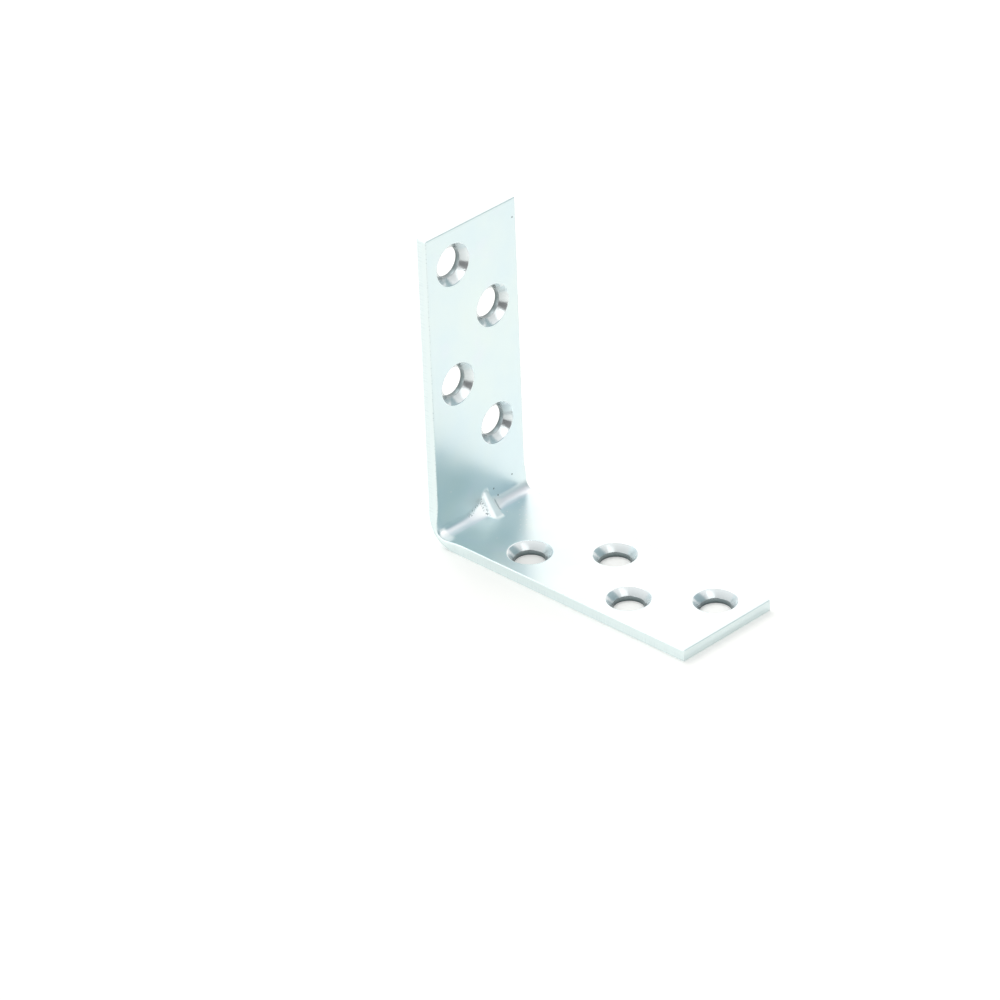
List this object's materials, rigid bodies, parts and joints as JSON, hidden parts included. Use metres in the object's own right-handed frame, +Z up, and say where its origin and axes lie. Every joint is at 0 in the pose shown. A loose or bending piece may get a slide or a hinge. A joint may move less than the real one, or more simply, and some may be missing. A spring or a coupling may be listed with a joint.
{
  "type": "angle bracket",
  "caption": "Right-angled bracket folded from zinc-plated steel strip, with a pressed gusset in the bend and staggered countersunk screw holes in both legs.",
  "frame": {"origin": "on the underside, below the middle of the part's bounding box", "axes": "+X along the base leg away from the upright leg, +Z up along the upright leg, +Y across the strip"},
  "size_m": [0.055, 0.0206, 0.055],
  "materials": {
    "zinc_plate": "bright zinc plate on steel sheet, smooth and faintly blue"
  },
  "bodies": {
    "root": {"bracket": "zinc_plate"}
  },
  "joints": []
}
